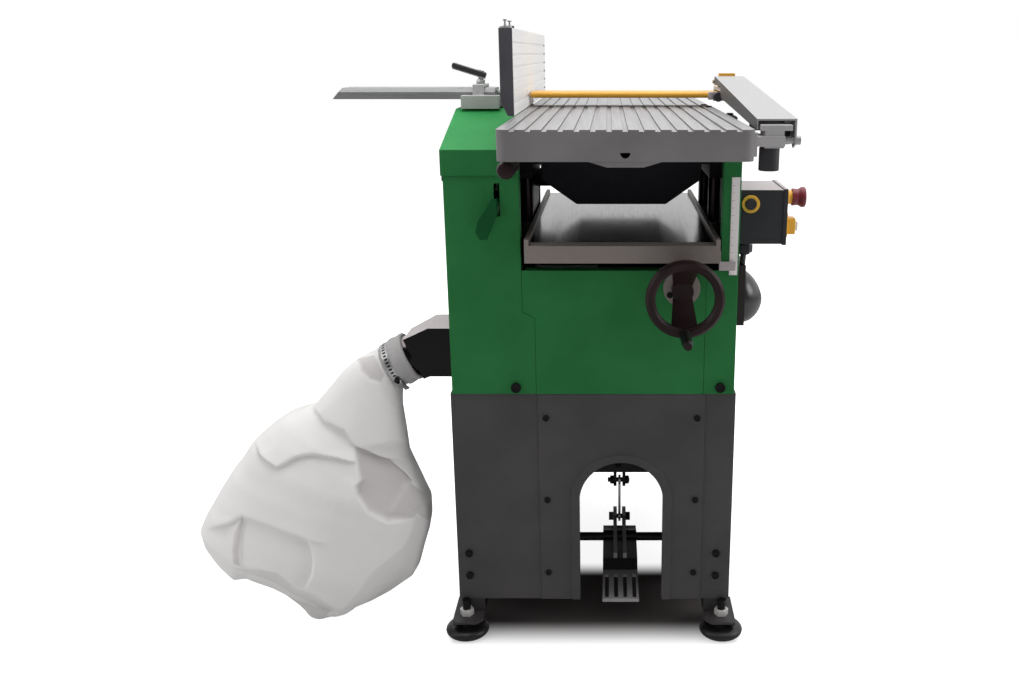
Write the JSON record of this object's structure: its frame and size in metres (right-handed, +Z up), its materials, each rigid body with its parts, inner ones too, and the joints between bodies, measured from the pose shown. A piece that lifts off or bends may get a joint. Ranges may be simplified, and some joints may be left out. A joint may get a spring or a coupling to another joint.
{
  "type": "combination planer thicknesser",
  "caption": "Floor standing combination planer thicknesser with ribbed tables, tilting fence, yellow bridge guard, green body, dark stand, wheel pedal and cloth chip bag",
  "frame": {"origin": "on the floor under the middle of the whole machine, bag included", "axes": "+X to the right of a person at the front end, +Y from the front end to the back along the tables, +Z up"},
  "size_m": [0.8925, 1.03, 0.8693],
  "materials": {
    "grey_stand": "fine textured dark grey powder coat",
    "black_paint": "satin black paint",
    "black_hardware": "black oxide screws and lever",
    "zinc_steel": "zinc plated steel",
    "bright_steel": "ground steel",
    "dark_steel": "hardened dark steel",
    "black_rubber": "matt black rubber",
    "green_paint": "semi gloss green powder coat",
    "scale_plate": "white printed metal strip",
    "cast_alloy": "die cast light alloy, machined on top",
    "fence_alloy": "clear anodised extrusion",
    "arm_alloy": "satin anodised sheet",
    "black_plastic": "moulded black plastic",
    "yellow_plastic": "moulded yellow plastic",
    "yellow_paint": "yellow coated extrusion",
    "red_plastic": "moulded dark red plastic",
    "bag_cloth": "undyed woven filter cloth",
    "cuff_cloth": "gathered cloth cuff with a strap"
  },
  "bodies": {
    "machine": {"stand_side_panels": "grey_stand", "stand_end_panels": "grey_stand", "fasteners": "black_hardware", "foot_brackets": "zinc_steel", "foot_pads": "black_rubber", "pedal_crossmember": "black_paint", "base_frame": "black_paint", "head_frame": "black_paint", "left_housing": "green_paint", "left_top_cover": "green_paint", "front_panel": "green_paint", "rear_panel": "green_paint", "right_cover": "green_paint", "depth_scale": "scale_plate", "lift_gearbox": "cast_alloy", "motor": "black_paint", "drive_belt": "black_rubber", "fan_housing": "black_paint", "dust_duct": "black_paint", "bag_cuff": "cuff_cloth", "dust_bag": "bag_cloth", "feed_gearbox": "black_paint", "cutter_bearings": "zinc_steel", "outfeed_table": "cast_alloy", "switch_box": "black_plastic", "button_bezels": "yellow_plastic", "fence_guide": "cast_alloy", "guard_bracket": "cast_alloy"},
    "link": {"pedal_link": "zinc_steel"},
    "pedal_lever": {"pedal": "black_paint", "wheel_axle": "black_paint"},
    "left_wheel": {"wheel_left": "black_rubber"},
    "right_wheel": {"wheel_right": "black_rubber"},
    "bed": {"thicknesser_bed": "cast_alloy", "lift_screw": "zinc_steel"},
    "crank": {"handwheel": "black_plastic"},
    "crank_grip": {"handwheel_grip": "black_plastic"},
    "drive_shaft": {"motor_shaft": "zinc_steel"},
    "cutter": {"cutterblock": "bright_steel", "knives": "bright_steel"},
    "front_roller": {"infeed_roller": "bright_steel"},
    "back_roller": {"outfeed_roller": "bright_steel"},
    "fingers": {"kickback_fingers": "dark_steel"},
    "hood": {"chip_hood": "black_plastic"},
    "feed_control": {"feed_lever": "green_paint"},
    "infeed": {"infeed_table": "cast_alloy"},
    "depth_control": {"depth_knob": "black_plastic"},
    "lock": {"table_lock": "black_plastic"},
    "stop": {"stop_button": "red_plastic"},
    "start": {"start_button": "yellow_plastic"},
    "reset": {"reset_button": "black_plastic"},
    "fence_slider": {"fence_bar": "cast_alloy"},
    "fence": {"fence_plate": "fence_alloy", "fence_caps": "black_plastic"},
    "fence_clamp": {"fence_lever": "black_hardware"},
    "arm": {"guard_arm": "arm_alloy"},
    "carrier": {"guard_carrier": "yellow_plastic"},
    "blade": {"guard_blade": "yellow_paint"},
    "blade_screw": {"blade_knob": "black_plastic"},
    "arm_screw": {"guard_knob": "black_plastic"}
  },
  "joints": [
    {"name": "pedal_press", "type": "hinge", "parent": "link", "child": "pedal_lever", "pos_m": [0.1745, -0.034, 0.073], "axis": [1, 0, 0], "range_deg": [0, 10]},
    {"name": "link_swing", "type": "hinge", "parent": "machine", "child": "link", "pos_m": [0.1745, -0.03, 0.139], "axis": [1, 0, 0], "range_deg": [-2.5, 0.1]},
    {"name": "wheel_left_spin", "type": "hinge", "parent": "pedal_lever", "child": "left_wheel", "pos_m": [-0.0055, -0.09, 0.063], "axis": [1, 0, 0], "continuous": true},
    {"name": "wheel_right_spin", "type": "hinge", "parent": "pedal_lever", "child": "right_wheel", "pos_m": [0.2745, -0.09, 0.063], "axis": [1, 0, 0], "continuous": true},
    {"name": "bed_lift", "type": "slide", "parent": "machine", "child": "bed", "axis": [0, 0, 1], "range_m": [0, 0.03]},
    {"name": "handwheel_turn", "type": "hinge", "parent": "machine", "child": "crank", "pos_m": [0.2555, -0.3, 0.532], "axis": [0, 1, 0], "range_deg": [-0.5, 2160.5]},
    {"name": "grip_spin", "type": "hinge", "parent": "crank", "child": "crank_grip", "pos_m": [0.2555, -0.365, 0.487], "axis": [0, 1, 0], "continuous": true},
    {"name": "cutter_spin", "type": "hinge", "parent": "machine", "child": "cutter", "pos_m": [0.1745, 0, 0.733], "axis": [1, 0, 0], "continuous": true},
    {"name": "motor_spin", "type": "hinge", "parent": "machine", "child": "drive_shaft", "pos_m": [0.1745, -0.02, 0.457], "axis": [1, 0, 0], "continuous": true},
    {"name": "infeed_roller_spin", "type": "hinge", "parent": "machine", "child": "front_roller", "pos_m": [0.1745, -0.062, 0.72], "axis": [1, 0, 0], "continuous": true},
    {"name": "outfeed_roller_spin", "type": "hinge", "parent": "machine", "child": "back_roller", "pos_m": [0.1745, 0.062, 0.72], "axis": [1, 0, 0], "continuous": true},
    {"name": "kickback_swing", "type": "hinge", "parent": "machine", "child": "fingers", "pos_m": [0.1745, -0.093, 0.716], "axis": [1, 0, 0], "range_deg": [0, 25]},
    {"name": "hood_slide", "type": "slide", "parent": "machine", "child": "hood", "axis": [0, -1, 0], "range_m": [0, 0.3]},
    {"name": "feed_lever_turn", "type": "hinge", "parent": "machine", "child": "feed_control", "pos_m": [0.0075, -0.215, 0.651], "axis": [-1, 0, 0], "range_deg": [0, 20]},
    {"name": "infeed_slide", "type": "slide", "parent": "machine", "child": "infeed", "axis": [0, 0, 1], "range_m": [-0.002, 0.001]},
    {"name": "depth_knob_turn", "type": "hinge", "parent": "machine", "child": "depth_control", "pos_m": [0.3345, 0.09, 0.705], "axis": [1, 0, 0], "range_deg": [-481, 241]},
    {"name": "table_lock_turn", "type": "hinge", "parent": "machine", "child": "lock", "pos_m": [0.0405, -0.4, 0.712], "axis": [0, 1, 0], "range_deg": [0, 90]},
    {"name": "stop_press", "type": "slide", "parent": "machine", "child": "stop", "axis": [-1, 0, 0], "range_m": [0, 0.005], "stiffness_N_per_m": 800},
    {"name": "start_press", "type": "slide", "parent": "machine", "child": "start", "axis": [-1, 0, 0], "range_m": [0, 0.003], "stiffness_N_per_m": 800},
    {"name": "reset_press", "type": "slide", "parent": "machine", "child": "reset", "axis": [0, 1, 0], "range_m": [0, 0.003], "stiffness_N_per_m": 800},
    {"name": "fence_slide", "type": "slide", "parent": "machine", "child": "fence_slider", "axis": [1, 0, 0], "range_m": [0, 0.15]},
    {"name": "fence_tilt", "type": "hinge", "parent": "fence_slider", "child": "fence", "pos_m": [0.012, -0.08, 0.767], "axis": [0, -1, 0], "range_deg": [0, 45]},
    {"name": "fence_clamp_turn", "type": "hinge", "parent": "machine", "child": "fence_clamp", "pos_m": [-0.0325, -0.08, 0.8], "axis": [0, 0, 1], "range_deg": [0, 90]},
    {"name": "guard_lift", "type": "hinge", "parent": "machine", "child": "arm", "pos_m": [0.3425, -0.466, 0.745], "axis": [1, 0, 0], "range_deg": [-1, 7]},
    {"name": "carrier_level", "type": "hinge", "parent": "arm", "child": "carrier", "pos_m": [0.3425, 0, 0.796], "axis": [1, 0, 0], "range_deg": [-7.1, 1.1]},
    {"name": "blade_slide", "type": "slide", "parent": "carrier", "child": "blade", "axis": [1, 0, 0], "range_m": [0, 0.15]},
    {"name": "blade_knob_turn", "type": "hinge", "parent": "carrier", "child": "blade_screw", "pos_m": [0.321, -0.055, 0.775], "axis": [0, 1, 0], "range_deg": [-180, 180]},
    {"name": "guard_knob_turn", "type": "hinge", "parent": "machine", "child": "arm_screw", "pos_m": [0.3365, -0.469, 0.725], "axis": [0, 0, 1], "range_deg": [-180, 180]}
  ],
  "couplings": [
    {"joint": "link_swing", "follows": "pedal_press", "ratio": -0.23},
    {"joint": "handwheel_turn", "follows": "bed_lift", "rad_per_m": 1256.6},
    {"joint": "motor_spin", "follows": "cutter_spin", "ratio": 0.66667},
    {"joint": "outfeed_roller_spin", "follows": "infeed_roller_spin", "ratio": 1},
    {"joint": "depth_knob_turn", "follows": "infeed_slide", "rad_per_m": 4188.8},
    {"joint": "carrier_level", "follows": "guard_lift", "ratio": -1},
    {"joint": "blade_slide", "follows": "fence_slide", "ratio": 1}
  ]
}
